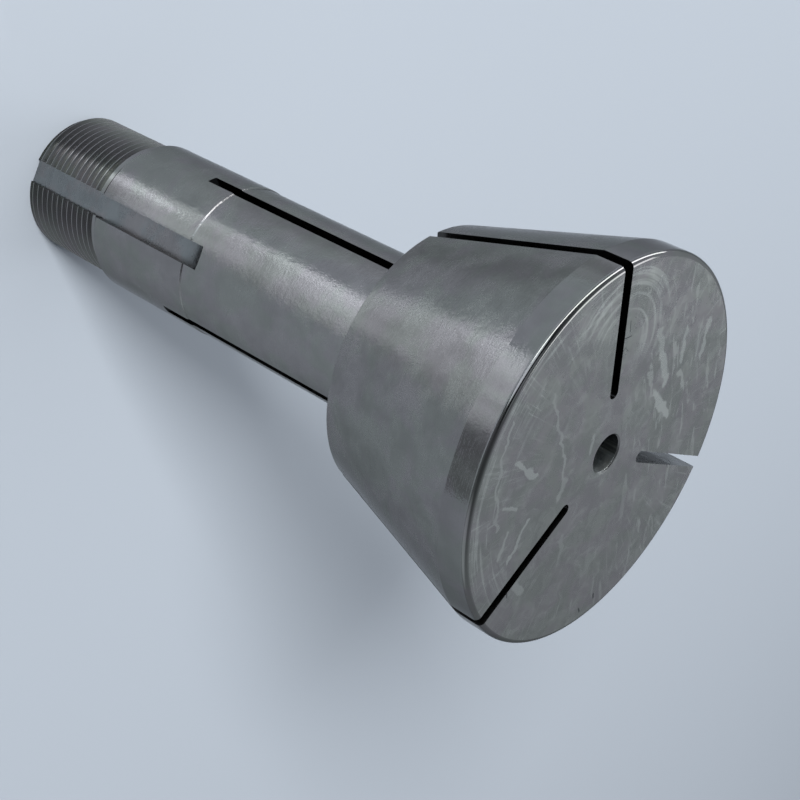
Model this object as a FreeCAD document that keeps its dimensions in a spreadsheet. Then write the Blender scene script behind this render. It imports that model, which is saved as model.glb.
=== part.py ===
import FreeCAD, Part
import Sketcher
import os

# A bell collet, one piece of hardened and ground steel. Its axis is Z: the threaded
# rear end stands on Z = 0 and the workholding face is at the top. One of the three
# slots points along +X, so the keyway, midway between the other two, points along -X.
# Lengths are in millimetres. Stations are heights above the rear end.

SIZES = {
    "overall_length": (142.5, "rear end to workholding face"),
    "thread_length": (24.0, "closing thread with its run-out groove"),
    "thread_drop": (1.15, "how far the thread's crests lie below the bearing"),
    "thread_pitch": (1.693, "pitch of the closing thread, fifteen turns to the inch"),
    "thread_depth": (1.05, "depth of the thread and of its run-out groove"),
    "thread_root_flat": (0.25, "flat at the bottom of the thread"),
    "thread_land": (0.09, "gap between turns of the threading tool, just outside"),
    "thread_over": (0.1, "how far outside the thread that gap is"),
    "runout_width": (1.1, "width of the groove the thread runs out in"),
    "rear_chamfer": (0.7, "chamfer at the start of the thread"),
    "bearing_dia": (32.0, "ground bearing next to the thread"),
    "bearing_length": (27.0, "length of the bearing, up to its small step"),
    "bearing_chamfer": (0.3, "broken edge of the bearing, at the thread"),
    "relief_depth": (0.2, "how far the spring part lies below the bearing"),
    "relief_run": (0.3, "length of the sloped step down to the spring part"),
    "cone_length": (34.8, "closing cone, from the shoulder to the band"),
    "cone_start_dia": (52.4, "outer edge of the shoulder, where the cone starts"),
    "shoulder_chamfer": (0.2, "broken edge of the shoulder"),
    "band_length": (5.7, "cylindrical band, from the cone to the face"),
    "head_dia": (72.4, "diameter of the band"),
    "rim_round": (1.0, "round on the edge of the face"),
    "thread_wall": (1.8, "wall between the rear bore and the thread's root"),
    "web_length": (36.5, "from the end of the rear bore's full width to the face"),
    "drill_point": (4.9, "length of the rear bore's conical end"),
    "bore_chamfer": (0.8, "chamfer at the mouth of the rear bore"),
    "pilot_dia": (7.0, "pilot hole through the face"),
    "pilot_chamfer": (0.25, "broken edge of the pilot hole"),
    "slot_width": (2.2, "width of each slot"),
    "slot_past_bore": (0.8, "how far the slots reach past the rear bore's wall"),
    "slot_lead": (9.2, "from the bearing's step to where the slots are full deep"),
    "saw_radius": (31.5, "saw that leaves the sloping start of each slot"),
    "slot_count": (3, "number of slots"),
    "key_width": (4.8, "width of the keyway"),
    "key_below_root": (0.2, "how far the keyway's floor lies below the thread's root"),
    "key_lead": (3.6, "from where the keyway starts to run out to the step"),
    "key_cutter": (14.0, "radius of the cutter that leaves its sloping end"),
    "margin": (2.0, "how far a cut starts outside the metal"),
}
FULL_TURN = 360
EDGE_TOLERANCE = 1e-4


class Length:
    """A size or a sum of sizes, with the formula a constraint is bound to."""

    def __init__(self, value, formula):
        self.value = value
        self.formula = formula

    def __add__(self, other):
        return Length(self.value + other.value, f"({self.formula} + {other.formula})")

    def __sub__(self, other):
        return Length(self.value - other.value, f"({self.formula} - {other.formula})")

    def __neg__(self):
        return Length(-self.value, f"(-{self.formula})")

    def half(self):
        return Length(self.value / 2, f"({self.formula} / 2)")


doc = FreeCAD.newDocument("bell_collet")
sheet = doc.addObject("Spreadsheet::Sheet", "Sizes")
for row, (alias, (number, meaning)) in enumerate(SIZES.items(), start=1):
    sheet.set(f"A{row}", alias)
    sheet.set(f"B{row}", str(number))
    sheet.set(f"C{row}", meaning)
    sheet.setAlias(f"B{row}", alias)
doc.recompute()

size = {alias: Length(float(sheet.get(alias)), f"Sizes.{alias}") for alias in SIZES}
zero = Length(0.0, "0")

# Radii, all taken from the bearing inwards, so that the walls keep their thickness.
bearing_radius = size["bearing_dia"].half()
relief_radius = bearing_radius - size["relief_depth"]
thread_radius = bearing_radius - size["thread_drop"]
root_radius = thread_radius - size["thread_depth"]
key_floor = root_radius - size["key_below_root"]
bore_radius = root_radius - size["thread_wall"]
slot_inner = bore_radius - size["slot_past_bore"]
head_radius = size["head_dia"].half()
pilot_radius = size["pilot_dia"].half()

# Stations from the rear end; the spring part takes up what the others leave.
face = size["overall_length"]
thread_end = size["thread_length"]
bearing_end = thread_end + size["bearing_length"]
cone_end = face - size["band_length"]
shoulder = cone_end - size["cone_length"]
bore_end = face - size["web_length"]
slot_full = bearing_end + size["slot_lead"]
key_full = bearing_end - size["key_lead"]


def new_sketch(body, name, plane):
    sketch = body.newObject("Sketcher::SketchObject", name)
    support = next(f for f in body.Origin.OriginFeatures if f.Role == plane)
    sketch.AttachmentSupport = [(support, "")]
    sketch.MapMode = "FlatFace"
    return sketch


def place_point(sketch, geometry, position, across, up):
    """Tie a point of the sketch to its distances from the origin."""
    for kind, axis, distance in (("DistanceX", -2, across), ("DistanceY", -1, up)):
        if distance is zero:
            rule = Sketcher.Constraint("PointOnObject", geometry, position, axis)
            sketch.addConstraint(rule)
            continue
        ends = (-1, 1, geometry, position)
        if distance.value < 0:
            ends = (geometry, position, -1, 1)
            distance = -distance
        index = sketch.addConstraint(Sketcher.Constraint(kind, *ends, distance.value))
        sketch.setExpression(f"Constraints[{index}]", distance.formula)


def draw_outline(sketch, corners):
    """Closed outline through corners given as (across, up) pairs of lengths."""
    points = [FreeCAD.Vector(across.value, up.value, 0) for across, up in corners]
    for start, end in zip(points, points[1:] + points[:1]):
        sketch.addGeometry(Part.LineSegment(start, end))
    for line, (across, up) in enumerate(corners):
        sketch.addConstraint(
            Sketcher.Constraint("Coincident", line, 1, (line - 1) % len(corners), 2))
        place_point(sketch, line, 1, across, up)


def draw_circle(sketch, across, up, radius):
    centre = FreeCAD.Vector(across.value, up.value, 0)
    normal = FreeCAD.Vector(0, 0, 1)
    circle = sketch.addGeometry(Part.Circle(centre, normal, radius.value))
    place_point(sketch, circle, 3, across, up)
    rule = Sketcher.Constraint("Radius", circle, radius.value)
    index = sketch.addConstraint(rule)
    sketch.setExpression(f"Constraints[{index}]", radius.formula)


def turn(body, kind, name, sketch):
    """Revolution or Groove of a sketch about the collet's axis."""
    feature = body.newObject(kind, name)
    feature.Profile = sketch
    feature.ReferenceAxis = (sketch, ["V_Axis"])
    feature.Angle = FULL_TURN
    return feature


def mill(body, name, sketch, width):
    """Pocket of a given width, centred on the sketch's plane."""
    feature = body.newObject("PartDesign::Pocket", name)
    feature.Profile = sketch
    feature.SideType = "Symmetric"
    feature.setExpression("Length", width.formula)
    return feature


def ring(shape, radius, station):
    """Name of the circular edge of that radius at that station."""
    for number, edge in enumerate(shape.Edges, start=1):
        curve = edge.Curve
        if (isinstance(curve, Part.Circle)
                and abs(curve.Radius - radius.value) < EDGE_TOLERANCE
                and abs(curve.Center.z - station.value) < EDGE_TOLERANCE):
            return f"Edge{number}"
    raise ValueError(f"no edge of radius {radius.value} at {station.value}")


def break_edge(body, kind, name, radius, station, amount):
    """Chamfer or Fillet of one circular edge of the shape so far."""
    doc.recompute()
    base = body.Tip
    edge = ring(base.Shape, radius, station)
    feature = body.newObject(kind, name)
    feature.Base = (base, [edge])
    feature.setExpression(
        "Radius" if kind == "PartDesign::Fillet" else "Size", amount.formula)
    return feature


collet = doc.addObject("PartDesign::Body", "bell_collet")
collet.Label = "bell_collet"

# Turned outside: thread, bearing, spring part, shoulder, cone and band.
outside = new_sketch(collet, "OutsideSketch", "XZ_Plane")
draw_outline(outside, [
    (zero, zero),
    (thread_radius, zero),
    (thread_radius, thread_end - size["runout_width"]),
    (root_radius, thread_end - size["runout_width"]),
    (root_radius, thread_end),
    (bearing_radius, thread_end),
    (bearing_radius, bearing_end),
    (relief_radius, bearing_end + size["relief_run"]),
    (relief_radius, shoulder),
    (size["cone_start_dia"].half(), shoulder),
    (head_radius, cone_end),
    (head_radius, face),
    (zero, face),
])
turn(collet, "PartDesign::Revolution", "Outside", outside)

# Rear bore with its conical end, and the pilot hole on through the face.
inside = new_sketch(collet, "InsideSketch", "XZ_Plane")
draw_outline(inside, [
    (zero, -size["margin"]),
    (bore_radius, -size["margin"]),
    (bore_radius, bore_end),
    (pilot_radius, bore_end + size["drill_point"]),
    (pilot_radius, face + size["margin"]),
    (zero, face + size["margin"]),
])
turn(collet, "PartDesign::Groove", "Inside", inside)

# Turned edges.
for kind, name, radius, station, amount in (
    ("PartDesign::Chamfer", "ThreadStart", thread_radius, zero, size["rear_chamfer"]),
    ("PartDesign::Chamfer", "BearingEdge", bearing_radius, thread_end,
     size["bearing_chamfer"]),
    ("PartDesign::Chamfer", "ShoulderEdge", size["cone_start_dia"].half(), shoulder,
     size["shoulder_chamfer"]),
    ("PartDesign::Chamfer", "BoreMouth", bore_radius, zero, size["bore_chamfer"]),
    ("PartDesign::Chamfer", "PilotMouth", pilot_radius, face, size["pilot_chamfer"]),
    ("PartDesign::Fillet", "FaceRim", head_radius, face, size["rim_round"]),
):
    break_edge(collet, kind, name, radius, station, amount)

# Keyway, with the slope its cutter leaves where it runs out on the spring part.
key_sketch = new_sketch(collet, "KeywaySketch", "XZ_Plane")
key_outside = bearing_radius + size["margin"]
draw_outline(key_sketch, [
    (-key_outside, -size["margin"]),
    (-key_floor, -size["margin"]),
    (-key_floor, key_full),
    (-key_outside, key_full),
])
mill(collet, "Keyway", key_sketch, size["key_width"])

cutter_sketch = new_sketch(collet, "KeyCutterSketch", "XZ_Plane")
draw_circle(cutter_sketch, -(key_floor + size["key_cutter"]),
            key_full, size["key_cutter"])
mill(collet, "KeywayRunout", cutter_sketch, size["key_width"])

# One slot, from the face down, with a round inner end and the saw's sloping start.
slot_sketch = new_sketch(collet, "SlotSketch", "XZ_Plane")
slot_outside = head_radius + size["margin"]
slot_straight = slot_inner + size["slot_width"].half()
draw_outline(slot_sketch, [
    (slot_straight, slot_full),
    (slot_outside, slot_full),
    (slot_outside, face + size["margin"]),
    (slot_straight, face + size["margin"]),
])
slot = mill(collet, "Slot", slot_sketch, size["slot_width"])

end_sketch = new_sketch(collet, "SlotEndSketch", "XY_Plane")
end_sketch.setExpression("AttachmentOffset.Base.z", face.formula)
draw_circle(end_sketch, slot_straight, zero, size["slot_width"].half())
slot_end = collet.newObject("PartDesign::Pocket", "SlotEnd")
slot_end.Profile = end_sketch
slot_end.setExpression("Length", (face - slot_full).formula)

saw_sketch = new_sketch(collet, "SawSketch", "XZ_Plane")
draw_circle(saw_sketch, slot_inner + size["saw_radius"], slot_full,
            size["saw_radius"])
saw = mill(collet, "SlotStart", saw_sketch, size["slot_width"])
doc.recompute()

slots = collet.newObject("PartDesign::PolarPattern", "Slots")
slots.Originals = [slot, slot_end, saw]
z_axis = next(f for f in collet.Origin.OriginFeatures if f.Role == "Z_Axis")
slots.Axis = (z_axis, [""])
slots.Angle = FULL_TURN
slots.setExpression("Occurrences", size["slot_count"].formula)
collet.Tip = slots
doc.recompute()

# Closing thread, cut from below the rear end up into the run-out groove.
thread_sketch = new_sketch(collet, "ThreadSketch", "XZ_Plane")
tool_tip = root_radius
tool_back = thread_radius + size["thread_over"]
tool_width = size["thread_pitch"] - size["thread_land"]
draw_outline(thread_sketch, [
    (tool_tip, -size["thread_pitch"] - size["thread_root_flat"].half()),
    (tool_back, -size["thread_pitch"] - tool_width.half()),
    (tool_back, -size["thread_pitch"] + tool_width.half()),
    (tool_tip, -size["thread_pitch"] + size["thread_root_flat"].half()),
])
thread = collet.newObject("PartDesign::SubtractiveHelix", "Thread")
thread.Profile = thread_sketch
thread.ReferenceAxis = (thread_sketch, ["V_Axis"])
thread.Mode = "pitch-height-angle"
thread.setExpression("Pitch", size["thread_pitch"].formula)
thread_travel = thread_end + size["thread_pitch"] - tool_width
thread.setExpression("Height", thread_travel.formula)
thread.Angle = 0
doc.recompute()

for item in doc.Objects:
    if "Invalid" in item.State or "Error" in item.State:
        raise RuntimeError(f"{item.Label} is in state {item.State}")
if collet.Shape.isNull() or not collet.Shape.isValid():
    raise RuntimeError("the collet's shape is not valid")
if len(collet.Shape.Solids) != 1:
    raise RuntimeError(f"the collet has {len(collet.Shape.Solids)} solids, not one")

os.makedirs("parts", exist_ok=True)
collet.Shape.exportStep(os.path.join("parts", collet.Label + ".step"))
box = collet.Shape.BoundBox
print(f"{collet.Label}: {collet.Shape.Volume:.0f} mm3, "
      f"{box.XLength:.2f} x {box.YLength:.2f} x {box.ZLength:.2f} mm")
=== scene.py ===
import math

import bpy
import numpy as np
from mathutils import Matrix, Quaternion, Vector


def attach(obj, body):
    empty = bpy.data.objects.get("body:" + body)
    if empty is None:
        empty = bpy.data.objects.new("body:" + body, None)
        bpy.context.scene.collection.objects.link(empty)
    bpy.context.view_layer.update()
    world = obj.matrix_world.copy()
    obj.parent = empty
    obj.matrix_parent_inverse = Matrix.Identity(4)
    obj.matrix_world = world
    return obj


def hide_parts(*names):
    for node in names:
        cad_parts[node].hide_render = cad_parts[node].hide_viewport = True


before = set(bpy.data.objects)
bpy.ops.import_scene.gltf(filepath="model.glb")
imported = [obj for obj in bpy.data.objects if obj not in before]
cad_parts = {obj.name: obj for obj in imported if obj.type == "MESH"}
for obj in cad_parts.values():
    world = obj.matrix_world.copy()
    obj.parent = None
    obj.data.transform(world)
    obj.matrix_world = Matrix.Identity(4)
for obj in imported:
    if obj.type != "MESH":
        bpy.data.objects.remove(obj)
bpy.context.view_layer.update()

# The collet stands on its threaded end. Its axis is Z, one slot points along
# +X and the keyway along -X. Sizes are in millimetres here and become metres in the mesh.
MM = 0.001

OVERALL = 142.5
THREAD_R, THREAD_ROOT, THREAD_END, PITCH = 14.85, 13.8, 24.0, 1.693
ROOT_FLAT, LAND_GAP, TOOL_OUT, RUNOUT = 0.25, 0.09, 0.1, 1.1
BEARING_R, BEARING_END = 16.0, 51.0
RELIEF_R, RELIEF_RUN = 15.8, 0.3
SHOULDER, CONE_R, CONE_END, HEAD_R = 102.0, 26.2, 136.8, 36.2
RIM_ROUND = 1.0
BORE_R, BORE_END, DRILL_POINT, BORE_CHAMFER = 12.0, 106.0, 4.9, 0.8
PILOT_R, PILOT_CHAMFER = 3.5, 0.25
SLOT_HALF, SLOT_INNER, SLOT_FULL, SAW_R, SLOTS = 1.1, 11.2, 60.2, 31.5, 3
KEY_HALF, KEY_FLOOR, KEY_FULL, KEY_CUTTER = 2.4, 13.6, 47.4, 14.0
OUT = 2.0

THREAD_CHAMFER, BEARING_CHAMFER, SHOULDER_CHAMFER = 0.7, 0.3, 0.2
EDGE_ROUND = 0.05

# How finely curves are divided, and how far the two parts of a slot's cutter overlap.
ROUND_SEGMENTS = 360
ARC_STEP = math.radians(9)
HELIX_STEPS = 120
SLOT_ARC_STEPS, SLOT_END_STEPS, KEY_ARC_STEPS = 48, 16, 32
SLOT_OVERLAP = 0.3

# What tells a thread flank by its normal, a turned face by its small lean, and a face on
# a rounding by how near its centre is to the arc.
FLANK_UP, FLANK_OUT = 0.79, 0.3
TURNED_LEAN = 0.012
ROUND_REACH = 0.02

ZONES = ["thread", "ground", "spring", "cone", "band", "rim", "face", "bore", "slot",
         "keyway"]
ZONE = {name: index for index, name in enumerate(ZONES)}


# The turned outline

def rounded(corners):
    """Points of the closed outline, one zone for each piece of it, and its arcs.

    Corners are (radius, height, rounding, zone of the piece that starts there)."""
    points, zones, arcs = [], [], []
    count = len(corners)
    for i, (r, z, rounding, zone) in enumerate(corners):
        here = np.array([r, z])
        if not rounding:
            points.append(here)
            zones.append(zone)
            continue
        before = np.array(corners[i - 1][:2]) - here
        after = np.array(corners[(i + 1) % count][:2]) - here
        before /= np.linalg.norm(before)
        after /= np.linalg.norm(after)
        half = math.acos(float(np.clip(before @ after, -1, 1))) / 2
        reach = rounding / math.tan(half)
        middle = before + after
        centre = here + middle / np.linalg.norm(middle) * rounding / math.sin(half)
        start, end = here + before * reach, here + after * reach
        a0 = math.atan2(*(start - centre)[::-1])
        sweep = math.atan2(*(end - centre)[::-1]) - a0
        sweep = (sweep + math.pi) % (2 * math.pi) - math.pi
        steps = max(2, math.ceil(abs(sweep) / ARC_STEP))
        for k in range(steps + 1):
            angle = a0 + sweep * k / steps
            points.append(centre + rounding * np.array([math.cos(angle), math.sin(angle)]))
            zones.append("rim" if rounding == RIM_ROUND and k < steps else zone)
        arcs.append((centre, rounding, start, end))
    return np.array(points), zones, arcs


def on_cone(distance):
    """Radius and height at a distance along the cone from the shoulder's corner."""
    slope = math.hypot(HEAD_R - CONE_R, CONE_END - SHOULDER)
    return (CONE_R + (HEAD_R - CONE_R) * distance / slope,
            SHOULDER + (CONE_END - SHOULDER) * distance / slope)


OUTLINE = [
    (BORE_R + BORE_CHAMFER, 0, EDGE_ROUND, "bore"),
    (THREAD_R - THREAD_CHAMFER, 0, EDGE_ROUND, "thread"),
    (THREAD_R, THREAD_CHAMFER, EDGE_ROUND, "thread"),
    (THREAD_R, THREAD_END - RUNOUT, 0, "thread"),
    (THREAD_ROOT, THREAD_END - RUNOUT, 0, "thread"),
    (THREAD_ROOT, THREAD_END, 0, "ground"),
    (BEARING_R - BEARING_CHAMFER, THREAD_END, EDGE_ROUND, "ground"),
    (BEARING_R, THREAD_END + BEARING_CHAMFER, 0.12, "ground"),
    (BEARING_R, BEARING_END, 0.2, "spring"),
    (RELIEF_R, BEARING_END + RELIEF_RUN, 0.1, "spring"),
    (RELIEF_R, SHOULDER, 0, "cone"),
    (CONE_R - SHOULDER_CHAMFER, SHOULDER, 0.08, "cone"),
    (*on_cone(SHOULDER_CHAMFER), 0.1, "cone"),
    (HEAD_R, CONE_END, 0.6, "band"),
    (HEAD_R, OVERALL, RIM_ROUND, "face"),
    (PILOT_R + PILOT_CHAMFER, OVERALL, EDGE_ROUND, "face"),
    (PILOT_R, OVERALL - PILOT_CHAMFER, EDGE_ROUND, "bore"),
    (PILOT_R, BORE_END + DRILL_POINT, 0.1, "bore"),
    (BORE_R, BORE_END, 0, "bore"),
    (BORE_R, BORE_CHAMFER, EDGE_ROUND, "bore"),
]


# Meshes

def make_mesh(name, points, faces, zones):
    """Mesh from millimetre points, its faces turned outwards, one zone for each face."""
    points = np.asarray(points, float)
    corners = [points[list(face)] for face in faces]
    volume = sum(np.dot(c[0], np.cross(c[i], c[i + 1]))
                 for c in corners for i in range(1, len(c) - 1))
    if volume < 0:
        faces = [face[::-1] for face in faces]
    mesh = bpy.data.meshes.new(name)
    mesh.from_pydata((points * MM).tolist(), [], faces)
    for zone in ZONES:
        mesh.materials.append(MATERIALS[zone])
    mesh.polygons.foreach_set("material_index", [ZONE[z] for z in zones])
    mesh.update()
    return mesh


def lathe(name, outline, zones, segments):
    """Closed outline of (radius, height) points turned round Z."""
    turn = np.arange(segments) * 2 * math.pi / segments
    points = [(r * math.cos(a), r * math.sin(a), z) for r, z in outline for a in turn]
    faces, face_zones = [], []
    count = len(outline)
    for i in range(count):
        low, high = i * segments, (i + 1) % count * segments
        for j in range(segments):
            k = (j + 1) % segments
            faces.append((low + j, low + k, high + k, high + j))
            face_zones.append(zones[i])
    return make_mesh(name, points, faces, face_zones)


def prism(name, outline, low, high, zone, place):
    """Flat outline pushed from low to high; place turns (u, v, depth) into x, y, z."""
    count = len(outline)
    points = [place(u, v, d) for d in (low, high) for u, v in outline]
    faces = [tuple(range(count)), tuple(range(2 * count - 1, count - 1, -1))]
    faces += [(i, count + i, count + (i + 1) % count, (i + 1) % count)
              for i in range(count)]
    return make_mesh(name, points, faces, [zone] * len(faces))


def arc(centre, radius, start, end, steps):
    """Points on an arc, angles in radians."""
    return [(centre[0] + radius * math.cos(start + (end - start) * k / steps),
             centre[1] + radius * math.sin(start + (end - start) * k / steps))
            for k in range(steps + 1)]


def helix_tool(name):
    """The groove of the closing thread, swept up its helix."""
    back = THREAD_R + TOOL_OUT
    half_back = (PITCH - LAND_GAP) / 2
    section = [(THREAD_ROOT, -ROOT_FLAT / 2), (back, -half_back),
               (back, half_back), (THREAD_ROOT, ROOT_FLAT / 2)]
    travel = THREAD_END + PITCH - 2 * half_back
    steps = math.ceil(travel / PITCH * HELIX_STEPS)
    points = []
    for k in range(steps + 1):
        rise = travel * k / steps
        angle = rise / PITCH * 2 * math.pi
        points += [(r * math.cos(angle), r * math.sin(angle), z - PITCH + rise)
                   for r, z in section]
    faces = [(3, 2, 1, 0), tuple(4 * steps + i for i in range(4))]
    for k in range(steps):
        for i in range(4):
            j = (i + 1) % 4
            faces.append((4 * k + i, 4 * k + j, 4 * k + 4 + j, 4 * k + 4 + i))
    return make_mesh(name, points, faces, ["thread"] * len(faces))


def slot_tools():
    """Meshes that cut one slot towards +X: the slab with the saw's round, and its end."""
    straight = SLOT_INNER + SLOT_HALF
    outside = HEAD_R + OUT
    top = OVERALL + OUT
    centre = (SLOT_INNER + SAW_R, SLOT_FULL)
    a_top = math.pi - math.acos((SAW_R - SLOT_HALF) / SAW_R)
    a_low = math.pi + math.acos((SAW_R + SLOT_INNER - BEARING_R - OUT) / SAW_R)
    outline = [(straight, top)]
    outline += arc(centre, SAW_R, a_top, a_low, SLOT_ARC_STEPS)
    outline += [(outside, outline[-1][1]), (outside, top)]
    slab = prism("slot_slab", outline, -SLOT_HALF, SLOT_HALF, "slot",
                 lambda u, v, d: (u, d, v))
    half = arc((straight, 0), SLOT_HALF, math.pi / 2, 3 * math.pi / 2, SLOT_END_STEPS)
    half += [(straight + SLOT_OVERLAP, -SLOT_HALF), (straight + SLOT_OVERLAP, SLOT_HALF)]
    end = prism("slot_end", half, SLOT_FULL, top, "slot", lambda u, v, d: (u, v, d))
    return [slab, end]


def key_tool():
    """Cuts the keyway towards -X, with the slope its cutter leaves."""
    outside = BEARING_R + OUT
    reach = math.acos((KEY_CUTTER + KEY_FLOOR - outside) / KEY_CUTTER)
    outline = [(-outside, -OUT), (-KEY_FLOOR, -OUT)]
    outline += arc((-KEY_FLOOR - KEY_CUTTER, KEY_FULL), KEY_CUTTER, 0, reach,
                   KEY_ARC_STEPS)
    return prism("key_tool", outline, -KEY_HALF, KEY_HALF, "keyway",
                 lambda u, v, d: (u, d, v))


def cut(piece, mesh, turn=0.0):
    """Takes a mesh, turned round Z, out of the piece."""
    tool = bpy.data.objects.new(mesh.name + "_tool", mesh)
    tool.rotation_euler.z = turn
    bpy.context.scene.collection.objects.link(tool)
    difference = piece.modifiers.new("cut", "BOOLEAN")
    difference.operation = "DIFFERENCE"
    difference.object = tool
    difference.solver = "EXACT"
    difference.material_mode = "INDEX"
    bpy.context.view_layer.update()
    graph = bpy.context.evaluated_depsgraph_get()
    result = bpy.data.meshes.new_from_object(piece.evaluated_get(graph))
    piece.modifiers.clear()
    old, piece.data = piece.data, result
    bpy.data.meshes.remove(old)
    bpy.data.objects.remove(tool)


def smooth(mesh, arcs):
    """Corner normals of the true turned, helical and flat surfaces."""
    count = len(mesh.polygons)
    normal = np.zeros(count * 3)
    centre = np.zeros(count * 3)
    zone = np.zeros(count, int)
    size = np.zeros(count, int)
    mesh.polygons.foreach_get("normal", normal)
    mesh.polygons.foreach_get("center", centre)
    mesh.polygons.foreach_get("material_index", zone)
    mesh.polygons.foreach_get("loop_total", size)
    normal, centre = normal.reshape(-1, 3), centre.reshape(-1, 3) / MM
    place = np.zeros(len(mesh.vertices) * 3)
    corner = np.zeros(len(mesh.loops), int)
    mesh.vertices.foreach_get("co", place)
    mesh.loops.foreach_get("vertex_index", corner)
    point = place.reshape(-1, 3)[corner] / MM
    owner = np.repeat(np.arange(count), size)

    radius = np.hypot(centre[:, 0], centre[:, 1])
    out = centre[:, :2] / radius[:, None]
    along = np.einsum("ij,ij->i", normal[:, :2], out)
    across = normal[:, 1] * out[:, 0] - normal[:, 0] * out[:, 1]
    turned = ~np.isin(zone, [ZONE["slot"], ZONE["keyway"]])
    across = np.where(np.abs(across) < TURNED_LEAN, 0, across)

    # The flanks of the thread get the exact slope of their section and of their helix.
    rise = THREAD_R + TOOL_OUT - THREAD_ROOT
    run = (PITCH - LAND_GAP - ROOT_FLAT) / 2
    slope = math.hypot(rise, run)
    flank = (zone == ZONE["thread"]) & (np.abs(normal[:, 2]) > FLANK_UP)
    flank &= (centre[:, 2] < THREAD_END - RUNOUT) & (along > FLANK_OUT)
    up = np.sign(normal[flank, 2])
    normal[flank, 2] = up * rise / slope
    along[flank] = run / slope
    across[flank] = -up * rise / slope * PITCH / (2 * math.pi * radius[flank])

    corner_out = point[:, :2] / np.hypot(point[:, 0], point[:, 1])[:, None]
    a, c = along[owner], across[owner]
    result = normal[owner].copy()
    t = turned[owner]
    result[t, 0] = (a * corner_out[:, 0] - c * corner_out[:, 1])[t]
    result[t, 1] = (a * corner_out[:, 1] + c * corner_out[:, 0])[t]
    for middle, rounding, start, end in arcs:
        low, high = np.minimum(start, end) - 1e-3, np.maximum(start, end) + 1e-3
        here = np.stack([radius, centre[:, 2]], 1)
        inside = turned & np.all((here > low) & (here < high), axis=1)
        inside &= np.abs(np.hypot(*(here - middle).T) - rounding) < ROUND_REACH
        pick = inside[owner]
        r = np.hypot(point[:, 0], point[:, 1])
        away = np.stack([r - middle[0], point[:, 2] - middle[1]], 1)
        away /= np.linalg.norm(away, axis=1)[:, None] + 1e-12
        face_way = np.stack([a, normal[owner][:, 2]], 1)
        away *= np.where(np.einsum("ij,ij->i", away, face_way) < 0, -1, 1)[:, None]
        result[pick, 0] = (away[:, 0] * corner_out[:, 0])[pick]
        result[pick, 1] = (away[:, 0] * corner_out[:, 1])[pick]
        result[pick, 2] = away[pick, 1]
    result /= np.linalg.norm(result, axis=1)[:, None]
    mesh.polygons.foreach_set("use_smooth", [True] * count)
    mesh.normals_split_custom_set(result.tolist())


def build_collet():
    """The turned body with its slots, keyway and thread cut."""
    points, zones, arcs = rounded(OUTLINE)
    mesh = lathe("collet", points, zones, ROUND_SEGMENTS)
    piece = bpy.data.objects.new("collet", mesh)
    bpy.context.scene.collection.objects.link(piece)
    for n in range(SLOTS):
        for tool in slot_tools():
            cut(piece, tool, 2 * math.pi * n / SLOTS)
    cut(piece, key_tool())
    cut(piece, helix_tool("thread_tool"))
    piece.data.name = "collet"
    smooth(piece.data, arcs)
    return piece


# Materials

class Nodes:
    """Builds the node tree of a material or of the world."""

    def __init__(self, owner, shader="Principled BSDF"):
        owner.use_nodes = True
        self.owner = owner
        self.tree = owner.node_tree
        self.shader = self.tree.nodes[shader]

    def put(self, value, socket):
        if isinstance(value, bpy.types.NodeSocket):
            self.tree.links.new(value, socket)
        elif value is not None:
            socket.default_value = value

    def add(self, kind, *values, out=0, **settings):
        """A node with its inputs given in order; returns one output socket."""
        node = self.tree.nodes.new("ShaderNode" + kind)
        for key, setting in settings.items():
            setattr(node, key, setting)
        for value, socket in zip(values, node.inputs):
            self.put(value, socket)
        return node.outputs[out]

    def math(self, operation, *values):
        return self.add("Math", *values, operation=operation)

    def length(self, vector):
        return self.add("VectorMath", vector, operation="LENGTH", out=1)

    def parts(self, vector):
        """The three numbers of a vector."""
        node = self.tree.nodes.new("ShaderNodeSeparateXYZ")
        self.put(vector, node.inputs[0])
        return node.outputs

    def join(self, x, y, z):
        return self.add("CombineXYZ", x, y, z)

    def scaled(self, place, scale):
        """The place times a number."""
        return self.add("VectorMath", place, (scale, scale, scale), operation="MULTIPLY")

    def facing(self, look, way):
        """Cosine of the angle between a looked-in direction and another one."""
        return self.add("VectorMath", look, way, operation="DOT_PRODUCT", out=1)

    def noise(self, place, detail=2.0, roughness=0.5, distortion=0.0, offset=0.0):
        """Noise from 0 to 1 at a place already scaled to the size of its features."""
        node = self.tree.nodes.new("ShaderNodeTexNoise")
        moved = self.add("VectorMath", place, (offset, offset * 0.7, offset * 1.3))
        self.put(moved, node.inputs["Vector"])
        node.inputs["Scale"].default_value = 1.0
        node.inputs["Detail"].default_value = detail
        node.inputs["Roughness"].default_value = roughness
        node.inputs["Distortion"].default_value = distortion
        return node.outputs[0]

    def ease(self, value, low, high, to_low=0.0, to_high=1.0):
        """Smooth step from to_low to to_high while value goes from low to high."""
        node = self.tree.nodes.new("ShaderNodeMapRange")
        node.interpolation_type = "SMOOTHSTEP"
        self.put(value, node.inputs[0])
        for index, number in enumerate((low, high, to_low, to_high), start=1):
            node.inputs[index].default_value = number
        return node.outputs[0]

    def blend(self, factor, first, second):
        """Mix of two colours."""
        node = self.tree.nodes.new("ShaderNodeMix")
        node.data_type = "RGBA"
        self.put(factor, node.inputs[0])
        self.put(first, node.inputs[6])
        self.put(second, node.inputs[7])
        return node.outputs[2]


GREENISH, VIOLET, BLUISH = (0.99, 1.01, 0.94), (1.04, 0.995, 0.99), (0.95, 1.0, 1.0)


def tone(level, tint):
    return (*(level * part for part in tint), 1)


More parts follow.
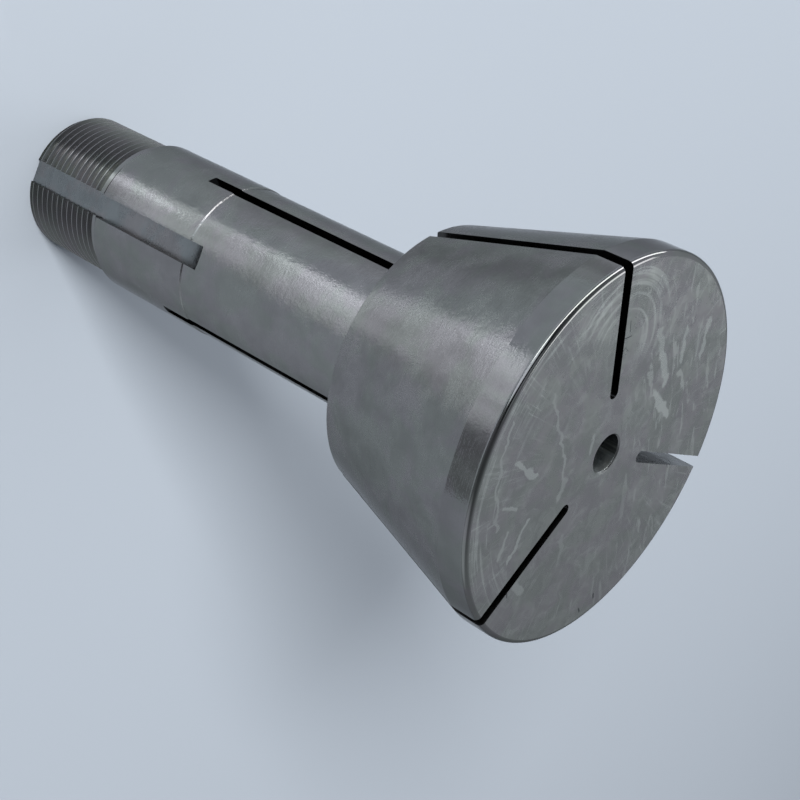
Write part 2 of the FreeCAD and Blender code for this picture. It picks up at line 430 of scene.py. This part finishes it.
def steel(name, level, gloss, depth, streaks=0.0, tints=(GREENISH, VIOLET), contrast=0.06,
          sparkle=0.0, uneven=0.09, grazing=0.5, ring_depth=0.0, waves=0.0,
          along_radius=False, reamer_marks_and_shade=False, painted_saw_start_shade=False, coat_and_lit_side=False):
    """Machined and handled steel.

    The tool marks run round the axis, as lines one above the other, on the face as
    rings, and lengthwise where reamed. depth is the height of the fine relief in metres,
    ring_depth that of the tool marks alone and waves that of the soft unevenness. The
    roughness is gloss; streaks, sparkle and uneven are how much rougher the short
    scratches, the fine specks and the worn patches are. contrast is the strength of the
    light and dark clouds, grazing how bright flat views stay."""
    made = Nodes(bpy.data.materials.new(name))
    here = made.add("TexCoord", out=3)
    x, y, z = made.parts(here)
    radius = made.length(made.join(x, y, 0))
    step = radius if along_radius else z

    def even(scale):
        return made.scaled(here, scale)

    def lines(across, along):
        """Place for marks 1/across apart and 1/along long."""
        return made.join(made.math("MULTIPLY", x, along), made.math("MULTIPLY", y, along),
                         made.math("MULTIPLY", step, across))

    grain = made.noise(lines(60, 2400) if reamer_marks_and_shade else lines(4300, 300), 2, 0.6)
    scratch = made.ease(made.noise(lines(5200, 240), 3, 0.65, offset=2.7), 0.56, 0.68)
    speckle = made.noise(even(2700), 2, 0.65, offset=4.1)
    hue = made.noise(even(120), 4, 0.6, 0.4, offset=7.7)
    cloud = made.noise(even(170), 5, 0.62, 0.3, offset=5.3)

    shade = made.ease(cloud, 0.3, 0.7)
    shade = made.math("MULTIPLY_ADD", grain, 0.5, shade)
    mix = made.ease(hue, 0.4, 0.6)
    dark = made.blend(mix, *(tone(level * (1 - contrast), tint) for tint in tints))
    light = made.blend(mix, *(tone(level * (1 + contrast), tint) for tint in tints))
    colour = made.blend(made.math("DIVIDE", shade, 1.5), dark, light)
    rough = made.math("MULTIPLY_ADD", scratch, streaks,
                      made.ease(cloud, 0.4, 0.62, gloss - 0.02, gloss - 0.02 + uneven))
    if sparkle:
        specks = made.noise(even(3800), 1, 0.5, offset=8.2)
        rough = made.math("ADD", rough, made.ease(specks, 0.42, 0.56, 0, sparkle))
    if coat_and_lit_side:
        # Films on the face, and on one side lighter wisps that paint that side lighter as
        # painted light.
        coat_and_light = face_coat_and_lit_side(made, here, radius)
        colour = made.blend(coat_and_light, colour, tone(level * 1.75, GREENISH))
        colour = made.blend(strokes(made, here, NICKS), colour, tone(level * 0.3, BLUISH))
    if reamer_marks_and_shade:
        # Painted shade: one side of the bore is painted dark, and the reamer's marks show on
        # the other.
        painted_shade_side = made.math("MULTIPLY_ADD", grain, -0.006, y)
        painted_shade_side = made.math("MULTIPLY_ADD", cloud, 0.004, painted_shade_side)
        painted_shade_side = made.ease(painted_shade_side, -0.0030, 0.0010)
        colour = made.blend(painted_shade_side, colour, tone(level * 0.16, BLUISH))
    if painted_saw_start_shade:
        # Painted shade: the start of the saw cut, deep in the slot, is painted near black.
        colour = made.blend(made.ease(z, 0.052, 0.066), tone(level * 0.12, BLUISH), colour)
    made.put(colour, made.shader.inputs["Base Color"])
    made.put(rough, made.shader.inputs["Roughness"])
    made.shader.inputs["Metallic"].default_value = 1
    made.shader.inputs["Specular Tint"].default_value = (grazing, grazing, grazing, 1)

    height = made.math("MULTIPLY_ADD", grain, 1 + ring_depth / depth, speckle)
    if waves:
        soft = made.noise(even(1000), 2, 0.5, 0.5, offset=3.9)
        height = made.math("MULTIPLY_ADD", soft, waves / depth, height)
    bump = made.tree.nodes.new("ShaderNodeBump")
    bump.inputs["Distance"].default_value = depth
    made.put(height, bump.inputs["Height"])
    made.put(bump.outputs[0], made.shader.inputs["Normal"])
    return made.owner


# Dried oil wiped across the face: each film is a stroke from one point to another, in
# millimetres, with its half width and strength.
FILMS = [
    (0.2, 22.5, 4.5, 18.5, 0.9, 0.7), (4.5, 18.5, 9.8, 14.6, 1.1, 0.9),
    (7.5, 12.2, 15.5, 8.0, 1.0, 1.0), (9.5, 23.8, 12.0, 18.6, 0.7, 0.8),
    (16.2, 26.5, 19.0, 19.6, 0.7, 0.8), (13.0, 16.2, 16.8, 14.0, 0.6, 0.7),
    (2.8, 15.0, 6.5, 11.6, 0.6, 0.6), (-27.0, -3.4, -20.0, -4.6, 0.7, 0.8),
    (-25.6, -10.4, -22.0, -10.6, 0.6, 0.7), (-16.6, -12.8, -17.3, -20.2, 0.5, 0.8),
    (-21.2, -14.8, -20.7, -19.5, 0.5, 0.7), (-24.3, 8.6, -17.6, 2.5, 0.35, 0.5),
    (-17.6, 2.5, -10.2, -4.6, 0.35, 0.6), (-10.2, -4.6, -9.8, -8.0, 0.9, 0.5),
    (-32.6, 4.0, -31.4, -3.0, 0.4, 0.6), (-31.4, -3.0, -27.6, -10.5, 0.4, 0.6),
    (-27.6, -10.5, -25.0, -13.8, 0.4, 0.5), (-12.0, -24.0, -9.5, -26.0, 1.1, 0.6),
    (-3.4, -15.0, -1.2, -19.0, 0.7, 0.4), (-7.0, 3.0, -5.8, 0.0, 0.5, 0.6),
]


# Nicks and dark scratches beside the slots, in the same form.
NICKS = [
    (-8.3, 20.6, -10.2, 19.8, 0.10, 0.9), (-9.4, 21.2, -10.6, 22.9, 0.12, 0.9),
    (-8.6, 18.6, -9.3, 17.2, 0.10, 0.8), (-7.4, 18.0, -8.6, 18.4, 0.08, 0.7),
    (-14.3, -24.9, -13.0, -26.6, 0.14, 0.9), (17.1, -27.0, 17.7, -27.8, 0.25, 0.8),
    (13.9, -29.9, 14.6, -30.5, 0.22, 0.8), (23.6, -0.9, 24.8, -1.6, 0.10, 0.6),
]


def strokes(made, here, marks):
    """How strongly each place is covered by a list of strokes, from 0 to 1."""
    cover = 0.0
    flat = made.add("VectorMath", here, (1, 1, 0), operation="MULTIPLY")
    for x0, y0, x1, y1, half, strength in marks:
        start, run = Vector((x0, y0, 0)) * MM, Vector((x1 - x0, y1 - y0, 0)) * MM
        away = made.add("VectorMath", flat, start, operation="SUBTRACT")
        part = made.add("VectorMath", away, run / run.length_squared,
                        operation="DOT_PRODUCT", out=1)
        part = made.add("Clamp", part)
        along = made.add("VectorMath", run, None, None, part, operation="SCALE")
        gap = made.length(made.add("VectorMath", away, along, operation="SUBTRACT"))
        stroke = made.ease(gap, half * 0.55 * MM, half * 1.05 * MM, strength, 0)
        cover = made.math("MAXIMUM", cover, stroke)
    return cover


def face_coat_and_lit_side(made, here, radius):
    """How strongly each place on the face is coated, or painted lighter on one side, from 0
    to 1.
    """
    wander = made.tree.nodes.new("ShaderNodeTexNoise")
    wander.inputs["Scale"].default_value = 330
    wander.inputs["Detail"].default_value = 3
    made.put(here, wander.inputs["Vector"])
    shift = made.add("VectorMath", wander.outputs[1], (0.5, 0.5, 0.5),
                     operation="SUBTRACT")
    shift = made.add("VectorMath", shift, (0.0034, 0.0034, 0), operation="MULTIPLY")
    place = made.add("VectorMath", here, shift, operation="ADD")
    coat = strokes(made, place, FILMS)

    # Arcs swept round a place beside one slot, as a cloth or a wheel leaves them.
    x, y = made.parts(here)[:2]
    over_x = made.math("ADD", x, 0.0100)
    over_y = made.math("SUBTRACT", y, 0.0185)
    away = made.length(made.join(over_x, over_y, 0))
    rings = made.noise(made.join(made.math("MULTIPLY", x, 60), made.math("MULTIPLY", y, 60),
                                 made.math("MULTIPLY", away, 1050)), 3, 0.6, offset=6.1)
    rings = made.math("MULTIPLY", made.ease(rings, 0.48, 0.62, 0, 0.6),
                      made.ease(away, 0.004, 0.007))
    rings = made.math("MULTIPLY", rings, made.ease(away, 0.0125, 0.0165, 1, 0))
    rings = made.math("MULTIPLY", rings, made.ease(over_y, -0.003, 0.003))

    # Fine strokes wiped outwards, stronger near the rim.
    spoke = made.join(made.math("DIVIDE", x, radius), made.math("DIVIDE", y, radius),
                      made.math("MULTIPLY", radius, 3.0))
    wiped = made.noise(made.scaled(spoke, 38), 3, 0.6, 0.5)
    wiped = made.math("MULTIPLY", made.ease(wiped, 0.55, 0.75),
                      made.ease(radius, 0.015, 0.034, 0.1, 0.6))

    # Long arcs beside the rim on one side.
    arcs = made.noise(made.join(made.math("MULTIPLY", x, 60), made.math("MULTIPLY", y, 60),
                                made.math("MULTIPLY", radius, 1300)), 3, 0.6, offset=3.3)
    arcs = made.math("MULTIPLY", made.ease(arcs, 0.52, 0.66, 0, 0.55),
                     made.ease(radius, 0.025, 0.031))
    arcs = made.math("MULTIPLY", arcs, made.ease(x, -0.022, -0.010, 1, 0))

    # Lighter wisps that run down one side only, which paint that side of the face lighter as
    # painted light, and thin clouds everywhere.
    down = made.math("MULTIPLY_ADD", x, 0.57, made.math("MULTIPLY", y, -0.82))
    over = made.math("MULTIPLY_ADD", x, 0.82, made.math("MULTIPLY", y, 0.57))
    lit_side_marks = made.noise(made.join(made.math("MULTIPLY", down, 110),
                                made.math("MULTIPLY", over, 520), 0), 4, 0.55, 1.2)
    lit_side_marks = made.math("MULTIPLY", made.ease(lit_side_marks, 0.56, 0.64, 0, 0.6),
                     made.ease(over, -0.002, 0.012))
    cloud = made.noise(made.scaled(place, 230), 4, 0.6, 1.0, offset=9.1)
    cloud = made.math("ADD", made.ease(cloud, 0.47, 0.54, 0, 0.12),
                      made.ease(cloud, 0.60, 0.62, 0, 0.16))
    thin = made.math("ADD", made.math("ADD", cloud, arcs), made.math("ADD", rings, wiped))
    thin = made.math("MAXIMUM", thin, lit_side_marks)
    return made.add("Clamp", made.math("MAXIMUM", coat, thin))


MATERIALS = {
    "thread": steel("steel_thread", 0.275, 0.18, 2e-6, contrast=0.06, uneven=0.02),
    "ground": steel("steel_ground", 0.250, 0.07, 22e-6, 0.06, contrast=0.12, sparkle=0.12,
                    waves=45e-6),
    "spring": steel("steel_spring", 0.255, 0.07, 24e-6, 0.06, contrast=0.12, sparkle=0.12,
                    waves=45e-6),
    "cone": steel("steel_cone", 0.238, 0.15, 16e-6, 0.10, contrast=0.15, sparkle=0.07,
                  waves=30e-6),
    "band": steel("steel_band", 0.220, 0.10, 9e-6, 0.10, contrast=0.12, waves=15e-6),
    "rim": steel("steel_rim", 0.24, 0.09, 2e-6, 0.03),
    "face": steel("steel_face", 0.290, 0.25, 4e-6, 0.05, along_radius=True, coat_and_lit_side=True),
    # The bore's steel is a far lighter copy of the same steel: painted light inside the hole,
    # with one side then painted dark as shade.
    "bore": steel("lit_shaded_bore_steel", 0.85, 0.34, 8e-6, 0.10, tints=(BLUISH, GREENISH),
                  contrast=0.5, ring_depth=30e-6, reamer_marks_and_shade=True),
    # The slot's steel is a far darker copy of the same steel: painted shade inside the narrow
    # cuts.
    "slot": steel("shaded_slot_steel", 0.06, 0.24, 1e-6, grazing=0.8, painted_saw_start_shade=True),
    "keyway": steel("steel_keyway", 0.250, 0.26, 3e-6, 0.12, tints=(BLUISH, VIOLET),
                    contrast=0.18, ring_depth=9e-6),
}

collet = build_collet()
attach(collet, "root")
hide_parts("bell_collet")


# Floor and light

HEAD_TOP = Vector((0, 0, OVERALL * MM))
FLOOR_HALF = 3
FLOOR_COLOUR = (0.415, 0.443, 0.482, 1)
SKY_COLOUR = (0.88, 0.96, 1.07, 1)
LAMP_COLOUR = (0.95, 0.98, 1.0)

# Brighter patches of the studio: azimuth and elevation, the cosines at the patch's edge
# and where it is full, and its strength. One is low towards -Y, one overhead, and the
# last is a window on the near side.
PATCHES = [(248, 18, 0.86, 0.97, 0.35), (140, 76, 0.96, 0.99, 0.3),
           (150, 24, 0.925, 0.965, 1.6)]


def direction(azimuth, elevation):
    a, e = math.radians(azimuth), math.radians(elevation)
    return Vector((math.cos(e) * math.cos(a), math.cos(e) * math.sin(a), math.sin(e)))


floor_mesh = bpy.data.meshes.new("floor")
floor_corners = [(x * FLOOR_HALF, y * FLOOR_HALF, 0)
                 for x, y in ((-1, -1), (1, -1), (1, 1), (-1, 1))]
floor_mesh.from_pydata(floor_corners, [], [(0, 1, 2, 3)])
floor = bpy.data.objects.new("floor", floor_mesh)
bpy.context.scene.collection.objects.link(floor)
paper = Nodes(bpy.data.materials.new("floor_paper"))
paper.shader.inputs["Base Color"].default_value = FLOOR_COLOUR
paper.shader.inputs["Roughness"].default_value = 0.9
paper.shader.inputs["Specular IOR Level"].default_value = 0.1
floor_mesh.materials.append(paper.owner)

# Pale studio, darker overhead on the near side and a little darker towards -Y.
sky = Nodes(bpy.data.worlds.new("studio"), "Background")
bpy.context.scene.world = sky.owner
look = sky.add("TexCoord")
near = sky.facing(look, direction(150, 50))
side = sky.facing(look, (0, 1, 0))
dome = sky.ease(near, -0.1, 0.95, 0.68, 0.12)
dark = sky.ease(near, 0.87, 0.97, 1.0, 0.1)
tilt = sky.ease(side, -0.6, 0.05, 0.5, 1.0)
dome = sky.math("MULTIPLY", sky.math("MULTIPLY", dome, dark), tilt)
for azimuth, elevation, edge, full, strength in PATCHES:
    patch = sky.ease(sky.facing(look, direction(azimuth, elevation)), edge, full, 0, strength)
    dome = sky.math("ADD", dome, patch)
sky.put(dome, sky.shader.inputs["Strength"])
sky.shader.inputs["Color"].default_value = SKY_COLOUR


def area_light(name, azimuth, elevation, distance, wide, high, power, glossy=True):
    """Soft box that faces the collet's head."""
    lamp = bpy.data.lights.new(name, "AREA")
    lamp.shape = "RECTANGLE"
    lamp.size, lamp.size_y = wide, high
    lamp.energy = power
    lamp.color = LAMP_COLOUR
    thing = bpy.data.objects.new(name, lamp)
    thing.location = HEAD_TOP + distance * direction(azimuth, elevation)
    thing.rotation_mode = "QUATERNION"
    thing.rotation_quaternion = (HEAD_TOP - thing.location).to_track_quat("-Z", "Y")
    thing.visible_camera = False
    thing.visible_glossy = glossy
    bpy.context.scene.collection.objects.link(thing)


# The main light throws the soft shadow, a low wide box lights the rim from +Y, and a
# small high one stands on the side away from the camera.
area_light("main", 150, 31, 3.5, 1.1, 1.1, 190.0, glossy=False)
area_light("rim", 95, 16, 0.8, 1.9, 0.2, 5.6)
area_light("top", 18, 48, 0.9, 0.35, 0.45, 1.2)


def low_card(name, outline, height, colour):
    """Card just above the floor that shows only in reflections; returns its nodes.

    Its outline and height are in millimetres."""
    mesh = bpy.data.meshes.new(name)
    mesh.from_pydata([(x * MM, y * MM, height * MM) for x, y in outline], [],
                     [tuple(range(len(outline)))])
    card = bpy.data.objects.new(name, mesh)
    bpy.context.scene.collection.objects.link(card)
    glow = Nodes(bpy.data.materials.new(name))
    glow.shader.inputs["Emission Color"].default_value = (*colour, 1)
    glow.shader.inputs["Base Color"].default_value = (0, 0, 0, 1)
    mesh.materials.append(glow.owner)
    for way in ("camera", "diffuse", "shadow", "transmission", "volume_scatter"):
        setattr(card, "visible_" + way, False)
    return glow


# The bright card is the streak in the ground surfaces, strongest along its far edge.
BRIGHT_CARD = [(-14, 9), (-30, 25), (-88, 90), (-218, 152), (-330, 150), (-330, -60),
               (-125, -26), (-72, 6), (-30, 9)]
bright = low_card("bright_card", BRIGHT_CARD, 1.0, (0.89, 0.95, 1.04))
x, y = bright.parts(bright.add("TexCoord", out=3))[:2]
place = bright.join(x, y, 0)
turned = bright.math("ARCTAN2", y, bright.math("MULTIPLY", x, -1))
patchy = bright.noise(bright.scaled(place, 42), 3, 0.6, 0.5, offset=1.9)
strength = bright.math("MULTIPLY",
                       bright.ease(turned, math.radians(-20), math.radians(14), 0.5, 1.32),
                       bright.ease(patchy, 0.35, 0.65, 0.65, 1.3))
spots = bright.noise(bright.scaled(place, 100), 3, 0.6, 0.5, offset=5.2)
ridge = bright.math("MULTIPLY",
                    bright.ease(turned, math.radians(20), math.radians(36), 0, 2.6),
                    bright.ease(spots, 0.49, 0.60))
# Dimmer beside the thread, and again where the cone and the shank's start reflect it.
away = bright.length(place)
fade = bright.math("MINIMUM", bright.ease(away, 0.038, 0.046, 0.55, 0.96),
                   bright.ease(away, 0.060, 0.078, 0.96, 0.60))
fade = bright.math("MAXIMUM", fade, bright.ease(away, 0.092, 0.115, 0, 1))
bright.put(bright.math("MULTIPLY", bright.math("ADD", strength, ridge), fade),
           bright.shader.inputs["Emission Strength"])

# The grey card is the dark patch beside it on the band of the head.
GREY_CARD = [(-240, -24), (-345, -30), (-330, -300), (-185, -175), (-225, -85)]
grey = low_card("grey_card", GREY_CARD, 1.5, (0.89, 0.95, 1.07))
y = grey.parts(grey.add("TexCoord", out=3))[1]
grey.put(grey.ease(y, -0.06, -0.022, 0.29, 0.58), grey.shader.inputs["Emission Strength"])

# A card with soft edges darkens the side that faces +Y a little.
SHADE_CARD = [(-45, 55), (45, 55), (75, 130), (125, 310), (-10, 310), (-40, 130)]
shade = low_card("shade_card", SHADE_CARD, 1.0, (0.90, 1.0, 1.12))
x, y = shade.parts(shade.add("TexCoord", out=3))[:2]
aside = shade.math("SUBTRACT", x, shade.math("MULTIPLY_ADD", y, 0.22, -0.0137))
aside = shade.ease(shade.math("ABSOLUTE", aside), 0.012, 0.036, 0.43, 0.61)
shade.put(shade.math("MAXIMUM", aside, shade.ease(y, 0.058, 0.08, 0.61, 0.43)),
          shade.shader.inputs["Emission Strength"])


# Camera, as fitted to the photo
SENSOR_WIDTH, LENS, NEAREST = 36, 68.61, 0.01
CAMERA_PLACE = (-0.2287, 0.04214, 0.25545)
CAMERA_TURN = (0.87286, -0.166405, -0.441796, 0.123459)

camera_data = bpy.data.cameras.new("camera")
camera_data.sensor_width = SENSOR_WIDTH
camera_data.lens = LENS
camera_data.clip_start = NEAREST
camera = bpy.data.objects.new("camera", camera_data)
camera.location = CAMERA_PLACE
camera.rotation_mode = "QUATERNION"
camera.rotation_quaternion = Quaternion(CAMERA_TURN)
bpy.context.scene.collection.objects.link(camera)
bpy.context.scene.camera = camera
bpy.context.scene.view_settings.view_transform = "Standard"
